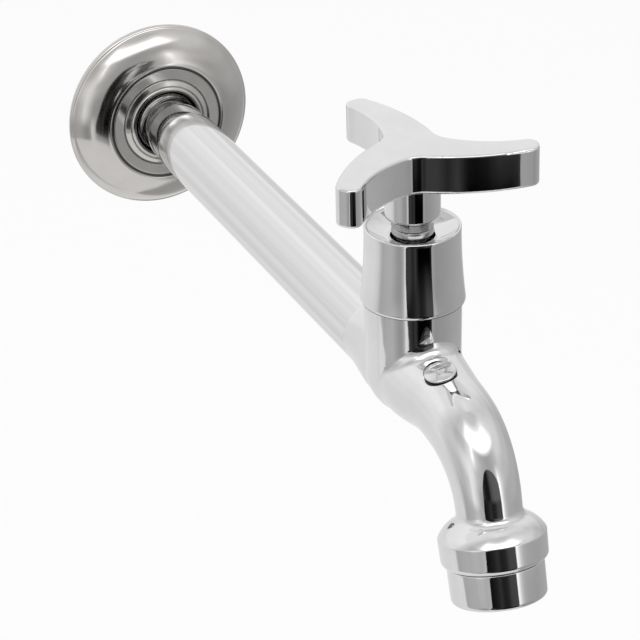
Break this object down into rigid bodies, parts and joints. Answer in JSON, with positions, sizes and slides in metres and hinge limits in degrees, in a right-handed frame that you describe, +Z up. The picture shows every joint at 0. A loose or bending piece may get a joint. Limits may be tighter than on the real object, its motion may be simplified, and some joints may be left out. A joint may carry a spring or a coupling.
{
  "type": "wall-mounted kitchen tap",
  "caption": "Wall-mounted single kitchen tap with a long straight supply pipe, a domed cover plate, a three-armed handle and a short curved spout with an aerator.",
  "frame": {"origin": "on the axis of the threaded inlet, in the plane of the wall", "axes": "+Y into the wall along the inlet, +Z up along the valve's axis, +X to the right seen from the front"},
  "size_m": [0.062, 0.275, 0.115],
  "materials": {
    "chrome_cast": "polished chrome plate over cast brass",
    "chrome_turned": "polished chrome plate over turned brass",
    "chrome_tube": "polished chrome plate over drawn brass tube",
    "chrome_sheet": "polished chrome plate over spun sheet",
    "nickelled_brass": "turned, nickel plated",
    "stainless_steel": "bright",
    "black_rubber": "matt moulded",
    "white_ceramic": "lapped alumina",
    "white_plastic": "moulded"
  },
  "bodies": {
    "tap_body": {"inlet_pipe": "chrome_tube", "pipe_seal": "black_rubber", "escutcheon": "chrome_sheet", "escutcheon_grip_ring": "black_rubber", "valve_body": "chrome_cast", "channel_plug": "chrome_turned", "plug_washer": "black_rubber", "bonnet_cover": "chrome_turned", "headwork_housing": "nickelled_brass", "headwork_gasket": "black_rubber", "slide_washer": "white_plastic", "fixed_disc": "white_ceramic", "seat_seal": "black_rubber", "seal_support_ring": "stainless_steel", "aerator_housing": "chrome_turned", "aerator_gasket": "black_rubber", "aerator_cage": "white_plastic", "aerator_screens": "stainless_steel", "flow_disc": "white_plastic"},
    "handle_body": {"handle": "chrome_cast", "spline_adapter": "nickelled_brass", "handle_screw": "stainless_steel", "spindle": "nickelled_brass", "spindle_o_rings": "black_rubber", "spindle_clip": "stainless_steel", "moving_disc": "white_ceramic"}
  },
  "joints": [
    {"name": "handle_turn", "type": "hinge", "parent": "tap_body", "child": "handle_body", "pos_m": [0, -0.196, 0], "axis": [0, 0, 1], "range_deg": [0, 90]}
  ]
}
